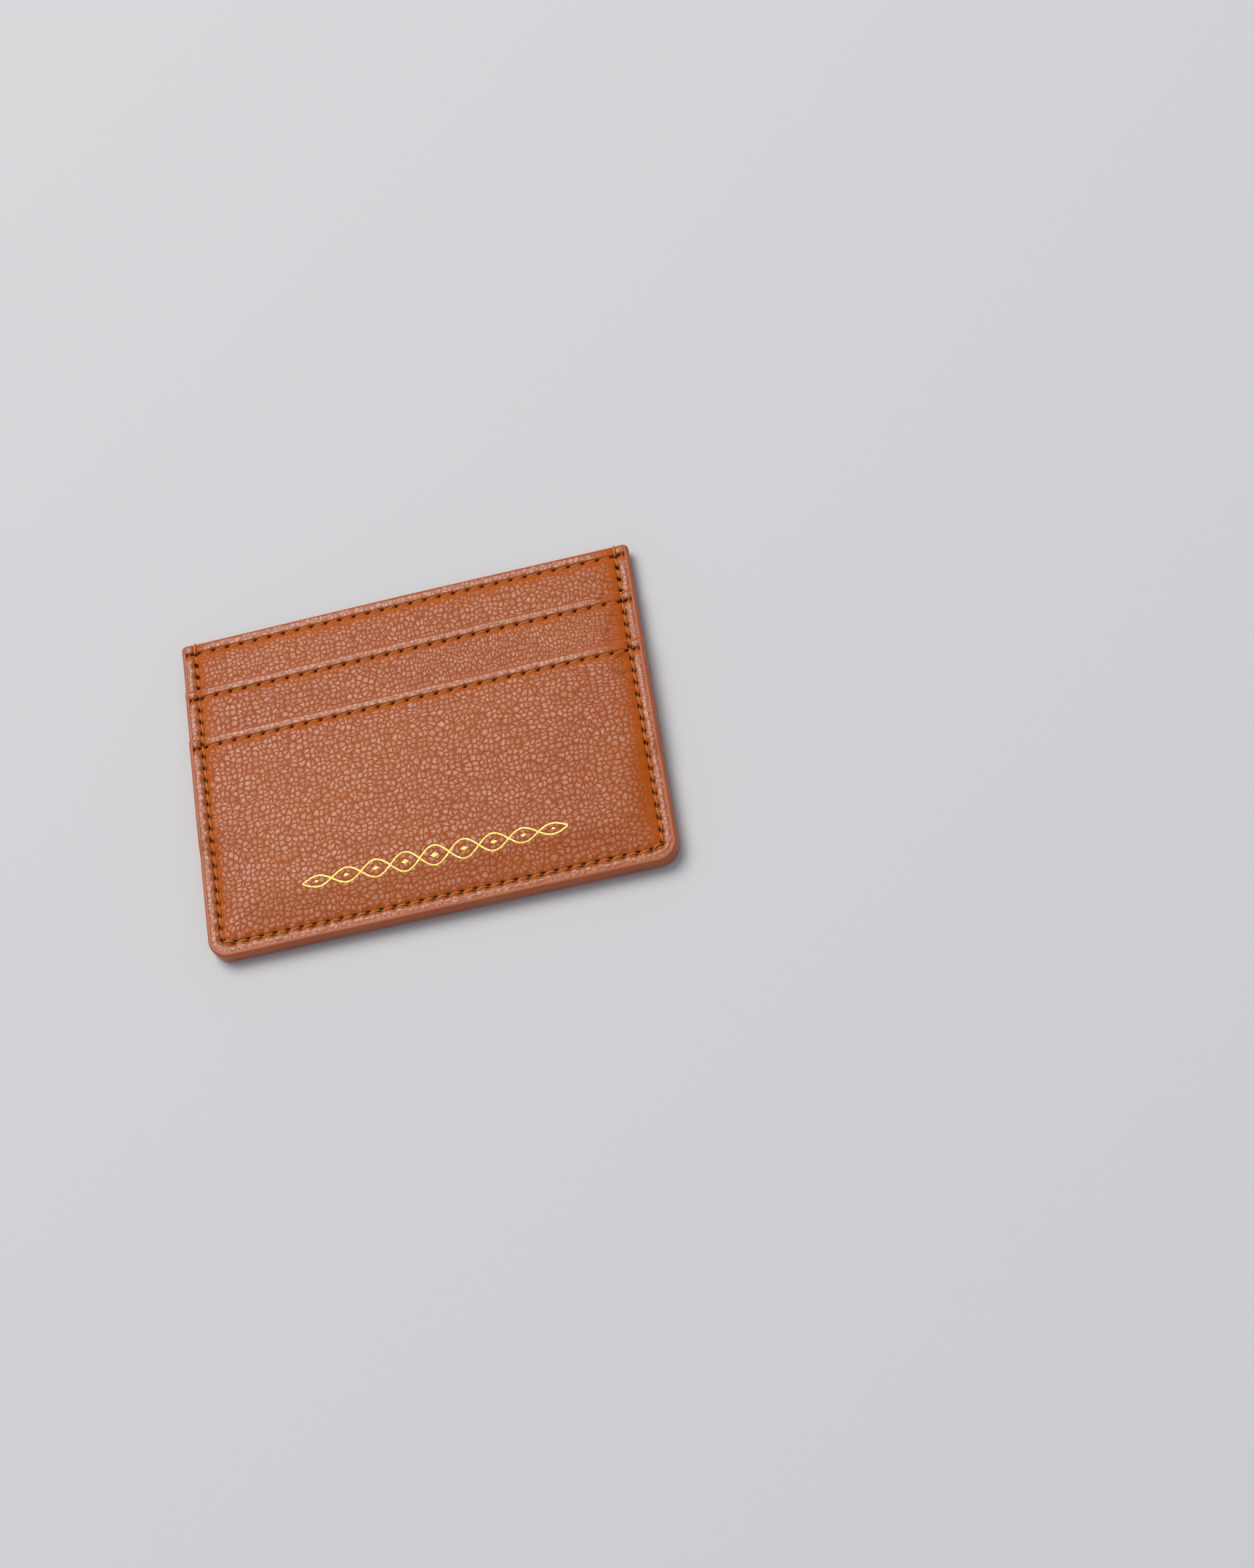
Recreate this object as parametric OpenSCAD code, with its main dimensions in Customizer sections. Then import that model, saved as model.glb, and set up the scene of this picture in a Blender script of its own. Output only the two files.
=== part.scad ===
// Flat leather card holder: two card slots on each face and a pocket down the middle.
// It lies face up: X along its width, Y towards the mouths, Z out of the front face.
// Heights are counted up from the bottom edge, and layers outwards from the middle plane.
// The rear half is the front half turned over about the middle plane.

/* [Outline] */
// Width over the painted edges
overall_w = 100; // [90:1:130]
// Height from the bottom edge to the top edge
overall_h = 75; // [68:1:100]
// Radius of the two bottom corners
bottom_corner_r = 4.5; // [2:0.5:8]
// Radius of the two top corners
top_corner_r = 1; // [0.5:0.1:3]

/* [Pockets] */
// Strip of base panel that shows above the upper slot
top_reveal = 11.5; // [8:0.1:15]
// Step from the upper slot edge down to the lower slot edge
slot_step = 12.2; // [8:0.1:15]
// Distance from the hidden pocket-bottom seam up to the hidden end of the upper pocket leather
leather_end_gap = 13.8; // [6:0.1:16]
// Length over which the lower pocket slopes down off the end of that leather
lap_slope = 3; // [1:0.5:5]
// Height above the bottom edge of the hidden seam that closes the bottom of the upper pocket
pocket_bottom_up = 13.5; // [9:0.5:20]
// Backing cloth left below that seam
pocket_bottom_tail = 2.5; // [1.5:0.5:5]

/* [Layers] */
// Thickness of each leather panel
leather_t = 0.5; // [0.45:0.05:1.2]
// Thickness of the backing and lining cloth
cloth_t = 0.12; // [0.08:0.01:0.3]
// Thickness of the stiffener board
board_t = 0.25; // [0.15:0.05:0.8]
// Gap between the two linings, the centre pocket when it is empty
centre_gap = 0.1; // [0.04:0.02:0.6]

/* [Sewing] */
// Distance of the outer seam from the left, right and bottom edges
seam_inset = 3; // [2.5:0.1:5]
// Distance of the edge rows from the top edge and from each slot edge
row_inset = 2.3; // [1.6:0.1:3.5]
// Stitch length of the outer seam
seam_pitch = 2.85; // [2.2:0.05:4]
// Stitch length of the edge rows
row_pitch = 3.2; // [2.2:0.05:4]
// Thickness of the sewing thread
thread_d = 0.36; // [0.2:0.02:0.42]
// Thickness of the thread of the hidden seam
hidden_thread_d = 0.24; // [0.16:0.02:0.4]
// Diameter of a needle hole in the panels
hole_d = 0.9; // [0.86:0.02:1.2]
// Free space on each side of a thread in its groove
thread_clear = 0.04; // [0.02:0.01:0.1]
// Distance between an edge row and the outer seam where they cross
crossing_gap = 0.8; // [0.7:0.05:1.2]
// Distance from the end of an edge row to the side edge
row_end_inset = 0.9; // [0.75:0.05:1.1]

/* [Edge paint] */
// Thickness of the paint on every cut edge
paint_t = 0.25; // [0.1:0.05:0.4]

/* [Foil ornament] */
// Length of the foil braid on the front
foil_l = 57; // [30:1:70]
// Height of the braid's middle eye
foil_h = 4.4; // [3:0.1:6]
// Number of eyes in the braid
foil_eyes = 9; // [5:2:15]
// Width of the braid's two lines
foil_line_w = 0.45; // [0.3:0.05:0.6]
// Length of the lozenge in the middle eye
foil_lozenge_l = 2; // [1:0.1:3]
// Height of that lozenge
foil_lozenge_h = 1.2; // [0.6:0.1:1.6]
// Height of the braid's line above the bottom edge
foil_up = 12; // [9:0.5:15]
// Thickness of the foil, and the depth of its blocked recess
foil_t = 0.05; // [0.03:0.01:0.1]

/* [Hidden] */
$fn = 32;

// Past a surface, so that a cut leaves no skin
past = 0.5;
// Gap between the two thread legs that share a needle hole
leg_gap = 0.02;

// Heights above the bottom edge
upper_slot = overall_h - top_reveal;
lower_slot = upper_slot - slot_step;
strip_end = pocket_bottom_up + leather_end_gap;
backing_end = pocket_bottom_up - pocket_bottom_tail;
panel_top = overall_h - paint_t;
top_row = overall_h - row_inset;
upper_row = upper_slot - row_inset;
lower_row = lower_slot - row_inset;

// Layers outwards from the middle plane, each on the one before
lining_z = centre_gap / 2;
board_z = lining_z + cloth_t;
base_z = board_z + board_t;
backing_z = base_z + leather_t;
upper_z = backing_z + cloth_t;
low_lining_z = upper_z;
low_pocket_z = low_lining_z + cloth_t;
base_face = backing_z;
upper_face = upper_z + leather_t;
seam_face = low_pocket_z + leather_t;
outer_face = seam_face + leather_t;

half_w = overall_w / 2;
seam_x = half_w - seam_inset;
row_end_x = half_w - row_end_inset;

brown = [0.72, 0.36, 0.16];
cloth = [0.45, 0.30, 0.20];
board = [0.75, 0.70, 0.62];
thread = [0.80, 0.50, 0.22];
paint = [0.60, 0.28, 0.14];
gold = [0.85, 0.68, 0.35];

// Side view of the front half's faces from the bottom edge to the top, as heights and levels
half_profile = [
    [0, seam_face], [strip_end - lap_slope, seam_face], [strip_end, outer_face],
    [lower_slot, outer_face], [lower_slot, upper_face],
    [upper_slot, upper_face], [upper_slot, base_face], [overall_h, base_face]
];

// Face level of the front half at height h
function face_at(h) =
    h > upper_slot ? base_face :
    h > lower_slot ? upper_face :
    h >= strip_end ? outer_face : seam_face;

// Equal stitches from a to b, as pairs of ends
function spans(a, b, pitch) =
    let (n = round((b - a) / pitch))
    [for (i = [0:n - 1]) [a + (b - a) * i / n, a + (b - a) * (i + 1) / n]];

side_spans = spans(seam_inset, top_row, seam_pitch);
bottom_spans = spans(-seam_x, seam_x, seam_pitch);
// The last stitch of each side goes over the top edge
wrap_span = [top_row, overall_h + leg_gap / 2];
row_spans = concat(
    [[-row_end_x, -seam_x - crossing_gap]],
    spans(-seam_x + crossing_gap, seam_x - crossing_gap, row_pitch),
    [[seam_x + crossing_gap, row_end_x]]);
hidden_spans = spans(-seam_x + crossing_gap, seam_x - crossing_gap, row_pitch);

// Rectangle from height low to high, with rounded corners where it has the outline's own
module outline(low, high, inset) {
    w = half_w - inset;
    difference() {
        translate([-w, max(low, inset)]) square([2 * w, high - max(low, inset)]);
        for (s = [-1, 1]) {
            corner_cut(s, w, inset, -1, bottom_corner_r - inset);
            corner_cut(s, w, overall_h, 1, top_corner_r);
        }
    }
}

// What a corner of radius r loses, at the side s, at height h, upwards or downwards
module corner_cut(s, w, h, up, r) {
    difference() {
        translate([s * (w - r / 2 + past / 2), h - up * (r / 2 - past / 2)])
            square([r + past, r + past], center = true);
        translate([s * (w - r), h - up * r]) circle(r = r);
    }
}

// A flat layer from height low to high, at level z
module sheet(low, high, z, t) {
    translate([0, 0, z]) linear_extrude(t) outline(low, high, paint_t);
}

// A layer that steps up over the end of the upper pocket leather
module stepped_sheet(high, z, t) {
    intersection() {
        linear_extrude(outer_face + past) outline(0, high, paint_t);
        rotate([90, 0, 90]) translate([0, 0, -half_w]) linear_extrude(overall_w)
            polygon([
                [0, z], [strip_end - lap_slope, z], [strip_end, z + leather_t],
                [high, z + leather_t], [high, z + leather_t + t],
                [strip_end, z + leather_t + t], [strip_end - lap_slope, z + t], [0, z + t]
            ]);
    }
}

// One stitch along X: a bar from a to b under the face z, with legs down to the level foot
module stitch(a, b, z, foot, d) {
    r = d / 2;
    a1 = a + leg_gap / 2;
    b1 = b - leg_gap / 2;
    translate([0, d / 2, 0]) rotate([90, 0, 0]) linear_extrude(d)
        polygon(concat(
            [[a1, foot]],
            [for (t = [180:-30:90]) [a1 + r + r * cos(t), z - r + r * sin(t)]],
            [for (t = [90:-30:0]) [b1 - r + r * cos(t), z - r + r * sin(t)]],
            [[b1, foot], [b1 - d, foot], [b1 - d, z - d], [a1 + d, z - d], [a1 + d, foot]]
        ));
}

// The room that one such stitch takes in a panel
module stitch_room(a, b, z, d) {
    w = d + 2 * thread_clear;
    translate([a, -w / 2, z - d - thread_clear]) cube([b - a, w, d + past + outer_face - z]);
    for (x = [a, b]) translate([x, 0, -past]) cylinder(d = hole_d, h = outer_face + 2 * past);
}

// Stands children that run along X at the side seam s, running up it
module along_side(s) {
    translate([s * seam_x, 0, 0]) rotate(90) children();
}

// The outer seam's stitches in the front half; one that crosses a slot edge bridges the step
module seam_stitches() {
    for (s = [-1, 1]) along_side(s)
        for (p = concat(side_spans, [wrap_span]))
            stitch(p[0], p[1], face_at(p[0]), 0, thread_d);
    translate([0, seam_inset, 0]) for (p = bottom_spans)
        stitch(p[0], p[1], seam_face, 0, thread_d);
}

// The room they take in the panels
module seam_room() {
    for (s = [-1, 1]) along_side(s)
        for (p = concat(side_spans, [wrap_span]))
            stitch_room(p[0], p[1], face_at(p[0]), thread_d);
    translate([0, seam_inset, 0]) for (p = bottom_spans)
        stitch_room(p[0], p[1], seam_face, thread_d);
}

// A row of stitches across the holder at height h
module row_stitches(row, h, z, foot, d) {
    translate([0, h, 0]) for (p = row) stitch(p[0], p[1], z, foot, d);
}

module row_room(row, h, z, d) {
    translate([0, h, 0]) for (p = row) stitch_room(p[0], p[1], z, d);
}

// The paint on a cut edge at height h, over the layers from z to z + t
module edge_paint(h, z, t) {
    difference() {
        translate([0, 0, z]) linear_extrude(t) intersection() {
            outline(0, h, paint_t);
            translate([-half_w, h - paint_t]) square([overall_w, paint_t]);
        }
        seam_room();
    }
}

// The braid's height at the share t of its length: eyes that shrink towards both ends
function foil_taper(t) = 0.45 + 0.55 * sin(180 * t);
function foil_wave(t) = foil_h / 2 * foil_taper(t) * sin(180 * foil_eyes * t);

// Half of a line's width, measured straight up where the wave is steep
function foil_half_w(t) =
    let (e = 0.001, rise = (foil_wave(t + e) - foil_wave(t - e)) / (2 * e * foil_l))
    foil_line_w / 2 * sqrt(1 + rise * rise);

module foil_line(side) {
    steps = 10 * foil_eyes;
    ts = [for (i = [0:steps]) i / steps];
    polygon(concat(
        [for (t = ts) [(t - 0.5) * foil_l, side * foil_wave(t) + foil_half_w(t)]],
        [for (i = [steps:-1:0])
            [(ts[i] - 0.5) * foil_l, side * foil_wave(ts[i]) - foil_half_w(ts[i])]]
    ));
}

module foil_outline() {
    translate([0, foil_up]) {
        foil_line(1);
        foil_line(-1);
        for (i = [0:foil_eyes - 1]) {
            t = (i + 0.5) / foil_eyes;
            l = foil_lozenge_l / 2 * foil_taper(t);
            h = foil_lozenge_h / 2 * foil_taper(t);
            translate([(t - 0.5) * foil_l, 0]) polygon([[-l, 0], [0, h], [l, 0], [0, -h]]);
        }
    }
}

// Sub-parts of one half

module lining() {
    color(cloth) difference() {
        sheet(0, panel_top, lining_z, cloth_t);
        seam_room();
        row_room(row_spans, top_row, base_face, thread_d);
    }
}

module stiffener() {
    color(board) difference() {
        sheet(0, panel_top, board_z, board_t);
        seam_room();
        row_room(row_spans, top_row, base_face, thread_d);
    }
}

module base_panel() {
    color(brown) difference() {
        sheet(0, panel_top, base_z, leather_t);
        seam_room();
        row_room(row_spans, top_row, base_face, thread_d);
        row_room(hidden_spans, pocket_bottom_up, upper_z, hidden_thread_d);
    }
}

module upper_pocket_backing() {
    color(cloth) difference() {
        sheet(backing_end, upper_slot - paint_t, backing_z, cloth_t);
        seam_room();
        row_room(row_spans, upper_row, upper_face, thread_d);
        row_room(hidden_spans, pocket_bottom_up, upper_z, hidden_thread_d);
    }
}

module upper_pocket() {
    color(brown) difference() {
        sheet(strip_end, upper_slot - paint_t, upper_z, leather_t);
        seam_room();
        row_room(row_spans, upper_row, upper_face, thread_d);
    }
}

module lower_pocket_lining() {
    color(cloth) difference() {
        stepped_sheet(lower_slot - paint_t, low_lining_z, cloth_t);
        seam_room();
        row_room(row_spans, lower_row, outer_face, thread_d);
    }
}

module lower_pocket() {
    color(brown) difference() {
        stepped_sheet(lower_slot - paint_t, low_pocket_z, leather_t);
        seam_room();
        row_room(row_spans, lower_row, outer_face, thread_d);
    }
}

// The front's own lower pocket, blocked for the foil
module foiled_lower_pocket() {
    difference() {
        lower_pocket();
        translate([0, 0, seam_face - foil_t]) linear_extrude(past) foil_outline();
    }
}

module foil_ornament() {
    color(gold) translate([0, 0, seam_face - foil_t]) linear_extrude(foil_t) foil_outline();
}

module perimeter_thread() {
    color(thread) seam_stitches();
}

module top_edge_thread() {
    color(thread) row_stitches(row_spans, top_row, base_face, lining_z, thread_d);
}

module upper_slot_thread() {
    color(thread) row_stitches(row_spans, upper_row, upper_face, backing_z, thread_d);
}

module lower_slot_thread() {
    color(thread)
        row_stitches(row_spans, lower_row, outer_face, low_lining_z + leather_t, thread_d);
}

module pocket_bottom_thread() {
    color(thread)
        row_stitches(hidden_spans, pocket_bottom_up, upper_z, base_z, hidden_thread_d);
}

module top_edge_paint() {
    color(paint) edge_paint(overall_h, lining_z, base_face - lining_z);
}

module upper_slot_edge_paint() {
    color(paint) edge_paint(upper_slot, backing_z, cloth_t + leather_t);
}

module lower_slot_edge_paint() {
    color(paint) edge_paint(lower_slot, low_lining_z + leather_t, cloth_t + leather_t);
}

// The paint round the left, bottom and right edges of both halves
module perimeter_edge_paint() {
    n = len(half_profile);
    color(paint) intersection() {
        translate([0, 0, -outer_face]) linear_extrude(2 * outer_face) difference() {
            outline(0, overall_h, 0);
            outline(0, overall_h + past, paint_t);
        }
        rotate([90, 0, 90]) translate([0, 0, -half_w]) linear_extrude(overall_w)
            polygon(concat(
                half_profile,
                [for (i = [n - 1:-1:0]) [half_profile[i][0], -half_profile[i][1]]]
            ));
    }
}

// Puts the middle plane at its height above the surface, and the outline's middle at the origin
module front() {
    translate([0, -overall_h / 2, outer_face]) children();
}

module rear() {
    front() mirror([0, 0, 1]) children();
}

front() foiled_lower_pocket();  // front_lower_pocket
front() lower_pocket_lining();  // front_lower_pocket_lining
front() upper_pocket();  // front_upper_pocket
front() upper_pocket_backing();  // front_upper_pocket_backing
front() base_panel();  // front_base_panel
front() stiffener();  // front_stiffener
front() lining();  // front_lining
rear() lining();  // rear_lining
rear() stiffener();  // rear_stiffener
rear() base_panel();  // rear_base_panel
rear() upper_pocket_backing();  // rear_upper_pocket_backing
rear() upper_pocket();  // rear_upper_pocket
rear() lower_pocket_lining();  // rear_lower_pocket_lining
rear() lower_pocket();  // rear_lower_pocket
front() perimeter_thread();  // front_perimeter_thread
rear() perimeter_thread();  // rear_perimeter_thread
front() top_edge_thread();  // front_top_edge_thread
rear() top_edge_thread();  // rear_top_edge_thread
front() upper_slot_thread();  // front_upper_slot_thread
rear() upper_slot_thread();  // rear_upper_slot_thread
front() lower_slot_thread();  // front_lower_slot_thread
rear() lower_slot_thread();  // rear_lower_slot_thread
front() pocket_bottom_thread();  // front_pocket_bottom_thread
rear() pocket_bottom_thread();  // rear_pocket_bottom_thread
front() perimeter_edge_paint();
front() top_edge_paint();  // front_top_edge_paint
rear() top_edge_paint();  // rear_top_edge_paint
front() upper_slot_edge_paint();  // front_upper_slot_edge_paint
rear() upper_slot_edge_paint();  // rear_upper_slot_edge_paint
front() lower_slot_edge_paint();  // front_lower_slot_edge_paint
rear() lower_slot_edge_paint();  // rear_lower_slot_edge_paint
front() foil_ornament();  // front_foil_ornament
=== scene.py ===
import math
import bpy
import numpy as np
from mathutils import Matrix, Vector


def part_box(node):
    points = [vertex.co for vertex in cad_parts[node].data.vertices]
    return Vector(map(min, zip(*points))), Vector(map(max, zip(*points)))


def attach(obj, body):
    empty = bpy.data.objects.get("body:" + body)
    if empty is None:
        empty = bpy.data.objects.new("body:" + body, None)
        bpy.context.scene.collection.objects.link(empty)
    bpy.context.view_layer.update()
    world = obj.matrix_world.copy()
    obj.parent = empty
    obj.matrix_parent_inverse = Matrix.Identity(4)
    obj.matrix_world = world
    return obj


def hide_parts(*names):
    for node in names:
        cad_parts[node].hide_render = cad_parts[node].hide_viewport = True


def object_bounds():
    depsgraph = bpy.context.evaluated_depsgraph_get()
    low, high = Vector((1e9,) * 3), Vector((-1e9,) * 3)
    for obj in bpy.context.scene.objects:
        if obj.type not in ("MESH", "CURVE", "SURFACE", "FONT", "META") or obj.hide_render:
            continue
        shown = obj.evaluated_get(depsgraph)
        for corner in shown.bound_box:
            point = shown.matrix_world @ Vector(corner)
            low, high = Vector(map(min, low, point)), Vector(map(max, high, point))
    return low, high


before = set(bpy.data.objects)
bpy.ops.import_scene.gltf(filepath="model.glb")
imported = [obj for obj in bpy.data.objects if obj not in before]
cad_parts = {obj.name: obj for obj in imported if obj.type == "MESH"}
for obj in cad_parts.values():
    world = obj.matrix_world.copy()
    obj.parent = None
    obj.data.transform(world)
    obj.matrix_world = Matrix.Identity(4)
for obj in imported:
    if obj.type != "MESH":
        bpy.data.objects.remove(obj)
cadLow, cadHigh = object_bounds()
mm = 0.001
bottomY, midLevel = cadLow.y / mm, (cadLow.z + cadHigh.z) / 2 / mm


# height of a node's top edge above the holder's bottom edge, in mm
def topOf(node):
    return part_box(node)[1].y / mm - bottomY


# height of the middle of a sewn row above the bottom edge, in mm
def middleOf(node):
    low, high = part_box(node)
    return (low.y + high.y) / 2 / mm - bottomY


holder = {
    "halfWidth": (cadHigh.x - cadLow.x) / 2 / mm,
    "height": (cadHigh.y - cadLow.y) / mm,
    "bottomRadius": 4.5,
    "topRadius": 1.0,
    "paint": 0.25,        # the leather stops this far inside the outline
    "seamInset": 3.0,
    "seamRadius": 1.8,    # how tightly the outer seam turns its two corners
    "seamStitches": 81,
    "rowStitches": 29,
    "rowInset": 0.8,      # from a row's last stitch to the outer seam
    "rowTail": (47.8, 49.1),
    "gape": 0.3,          # how far each wall of the centre pocket bows at the middle of the top
}
seamX = holder["halfWidth"] - holder["seamInset"]
topRow = middleOf("front_top_edge_thread")
upperRow, upperSlot = middleOf("front_upper_slot_thread"), topOf("front_upper_slot_edge_paint")
lowerRow, lowerSlot = middleOf("front_lower_slot_thread"), topOf("front_lower_slot_edge_paint")
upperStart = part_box("front_upper_pocket")[0].y / mm - bottomY


# smooth step from 0 at a to 1 at b
def rise(a, b, value):
    t = np.clip((value - a) / (b - a), 0, 1)
    return t * t * (3 - 2 * t)


# a bell of that width round zero
def bell(value, width):
    return np.exp(-((value / width) ** 2))


# the smaller of two levels, with the corner between them rounded over about 0.1 mm
def softMin(level, limit):
    return level - 0.05 * np.logaddexp(0, (level - limit) / 0.05)


# random values on a lattice, blended smoothly between its points, from -1 to 1
def softNoise(x, y, size, seed):
    table = np.random.default_rng(seed).uniform(-1, 1, (128, 128))
    gx, gy = x / size, y / size
    ix, iy = np.floor(gx).astype(int), np.floor(gy).astype(int)
    fx, fy = rise(0, 1, gx - ix), rise(0, 1, gy - iy)
    low = table[ix % 128, iy % 128] * (1 - fx) + table[(ix + 1) % 128, iy % 128] * fx
    high = table[ix % 128, (iy + 1) % 128] * (1 - fx) + table[(ix + 1) % 128, (iy + 1) % 128] * fx
    return low * (1 - fy) + high * fy


# Where each lattice square keeps its cell's point, from whole numbers mixed by turns and subtractions. The
# leather's material mixes them the same way, and then bends its cells a little more, by up to 0.2 of a cell.
def cellPoints(reach):
    keep = np.uint64(0xFFFFFFFF)
    turns = (2, 1, 14), (0, 2, 11), (1, 0, 25), (2, 1, 16), (0, 2, 4), (1, 0, 14), (2, 1, 24)

    def bits(values):
        return values.astype(np.float32).view(np.uint32).astype(np.uint64)

    def mixed(a, b, c):
        v = [a & keep, b & keep, c & keep]
        for to, by, turn in turns:
            turned = ((v[by] << np.uint64(turn)) | (v[by] >> np.uint64(32 - turn))) & keep
            v[to] = ((v[to] ^ v[by]) - turned) & keep
        return v[2] / 0xFFFFFFFF

    ix, iy = np.meshgrid(np.arange(-reach, reach), np.arange(-reach, reach), indexing="ij")
    two, three = np.uint64(0xDEADBEEF + 21), np.uint64(0xDEADBEEF + 25)
    across = mixed(two + bits(ix), two + bits(iy), two + bits(ix) * np.uint64(0))
    up = mixed(three + bits(ix), three + bits(iy), three + bits(np.ones_like(ix)))
    return np.stack([across, up], -1)


cellReach, cellSpread = 420, 0.8   # the spread is how far a point strays from its square's corner
cellTable = cellPoints(cellReach) * cellSpread


# how much nearer the nearest cell point is than the next one, which is 0 on the creases between two cells
def creaseDistance(gx, gy):
    ix, iy = np.floor(gx).astype(int), np.floor(gy).astype(int)
    nearest = np.full(gx.shape, 9.0)
    second = nearest.copy()
    for ox in (-1, 0, 1):
        for oy in (-1, 0, 1):
            point = cellTable[ix + ox + cellReach, iy + oy + cellReach]
            away = np.hypot(gx - ix - ox - point[..., 0], gy - iy - oy - point[..., 1])
            second = np.minimum(second, np.maximum(nearest, away))
            nearest = np.minimum(nearest, away)
    return second - nearest


# half the width of a layer at height h: straight sides, with a quarter circle at each corner
def widthAt(h, inset):
    wide = holder["halfWidth"] - inset
    low, top = holder["bottomRadius"] - inset, holder["topRadius"]
    up, down = np.maximum(h - inset, 0), np.maximum(holder["height"] - h, 0)
    wide = np.where(up < low, wide - low + np.sqrt(np.maximum(low**2 - (low - up) ** 2, 0)), wide)
    return np.where(down < top, wide - top + np.sqrt(np.maximum(top**2 - (top - down) ** 2, 0)), wide)


# distance inside the outer seam, which is a box with two round corners and no top; negative outside
def seamDepth(x, h):
    r = holder["seamRadius"]
    qx, qy = np.abs(x) - (seamX - r), holder["seamInset"] + r - h
    return r - np.hypot(np.maximum(qx, 0), np.maximum(qy, 0)) - np.minimum(np.maximum(qx, qy), 0)


# the outer seam by its length from the left end of the top row: down, round, along, round and up
def seamPoint(s):
    r = holder["seamRadius"]
    side = topRow - holder["seamInset"] - r
    arc, across = math.pi / 2 * r, 2 * (seamX - r)
    stops = np.cumsum([side, arc, across, arc, side])
    angle = np.clip((s - stops[0]) / r, 0, math.pi / 2) + np.clip((s - stops[2]) / r, 0, math.pi / 2)
    centreX = -(seamX - r) + np.clip(s - stops[1], 0, across)
    centreH = topRow - np.clip(s, 0, side) + np.clip(s - stops[3], 0, side)
    place = np.stack([centreX - r * np.cos(angle), centreH - r * np.sin(angle)], -1)
    return place, np.stack([np.sin(angle), -np.cos(angle)], -1)


# sizes of the needle holes, as shares of a hole's own length and width
holes = {"seam": 1.3, "row": 0.85, "slant": 0.35}


def seamHoles():
    r = holder["seamRadius"]
    length = 2 * (topRow - holder["seamInset"] - r) + math.pi * r + 2 * (seamX - r)
    return seamPoint(np.linspace(0, length, holder["seamStitches"] + 1))


# needle holes of a row at height h, with the two that lie outside the outer seam on each side
def rowHoles(h):
    end = seamX - holder["rowInset"]
    tail = np.array(holder["rowTail"])
    x = np.concatenate([-tail[::-1], np.linspace(-end, end, holder["rowStitches"] + 1), tail])
    return np.stack([x, np.full_like(x, h)], -1), np.stack([np.ones_like(x), np.zeros_like(x)], -1)


# 1 in the middle of a needle hole, falling off as a slanted bell longer along the seam than across
def holeMask(x, h, long, wide):
    mask = np.zeros(x.shape)
    runs = [(seamHoles(), holes["seam"])]
    runs += [(rowHoles(row), holes["row"]) for row in (topRow, upperRow, lowerRow)]
    for (places, along), size in runs:
        low, high = places.min(0) - 1.5, places.max(0) + 1.5
        flatX, flatH, flatMask = x.ravel(), h.ravel(), mask.ravel()
        near = (flatX > low[0]) & (flatX < high[0]) & (flatH > low[1]) & (flatH < high[1])
        near &= (np.abs(seamDepth(flatX, flatH)) < 1.2) | (places[:, 1].max() - places[:, 1].min() < 1)
        dx = flatX[near][:, None] - places[:, 0]
        dh = flatH[near][:, None] - places[:, 1]
        a = (dx * along[:, 0] + dh * along[:, 1]) / (long * size)
        c = (dh * along[:, 0] - dx * along[:, 1]) / (wide * size)
        c = c - holes["slant"] * a
        flatMask[near] = np.maximum(flatMask[near], np.exp(-(a**2) - c**2).max(1))
        mask = flatMask.reshape(x.shape)
    return mask


# levels of each leather layer above the middle plane, in mm
panels = {
    "base": {"margin": 0.88, "step": 0.0, "inner": 1.2, "crown": 0.0, "reach": 2.2, "flat": 0.98,
             "open": upperSlot, "row": topRow, "start": 0.25, "end": holder["height"] - 0.25, "seed": 3},
    "upper": {"margin": 1.46, "step": 0.0, "inner": 1.86, "crown": 0.0, "reach": 2.4, "flat": 1.56,
              "open": lowerSlot, "row": upperRow, "start": upperStart, "end": upperSlot - 0.25, "seed": 5},
    "lower": {"margin": 1.58, "step": 0.48, "inner": 2.46, "crown": 0.3, "reach": 2.8, "flat": 2.14,
              "open": 99.0, "row": lowerRow, "start": 0.25, "end": lowerSlot - 0.25, "seed": 8},
}
press = {"seam": 0.2, "row": 0.15, "width": 0.3, "swell": 0.1, "band": 0.1, "hole": 0.3, "pinch": 0.14}


# how far both walls of the centre pocket bow outwards: most at the middle of the top edge
def gapeAt(x, h):
    return holder["gape"] * np.clip(1 - (x / seamX) ** 2, 0, 1) ** 2 * rise(38, 74, h)


# Margin level outside the seam, rising past it to the inner level as 1 - exp(-(depth / reach)^1.3),
# pressed down by a bell along the seam and the row, with a low swell in the margin and by the slot edge
def faceLevel(kind, x, h, half):
    p = panels[kind]
    depth = seamDepth(x, h)
    margin = p["margin"] + p["step"] * rise(upperStart - 4, upperStart + 0.8, h)
    crown = np.sin(math.pi * np.clip((h - 3) / (p["end"] - 3), 0, 1)) * (1 - (x / 52) ** 2)
    reach = p["reach"] * (1 + 1.5 * rise(16, 3, h) * (kind == "lower"))
    roll = 1 - np.exp(-((np.maximum(depth, 0) / reach) ** 1.3))
    if kind == "base":
        roll = roll * (1 - np.exp(-((np.maximum(p["row"] - h, 0) / 1.7) ** 1.3)))
    face = margin + (p["inner"] + p["crown"] * crown - margin) * roll + gapeAt(x, h)
    over = h - p["row"]
    band = rise(0.05, 0.5, over) * (1 - 0.7 * rise(1.5, 2.5, over))
    face = face + press["swell"] * bell(depth + 1.3, 0.7) + press["band"] * band
    if half < 0:
        flat = p["flat"] + 0.6 * rise(p["open"] - 1, p["open"] + 2, h)
        face = softMin(face, flat)
    return face - press["seam"] * bell(depth, press["width"]) - press["row"] * bell(over, press["width"])


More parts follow.
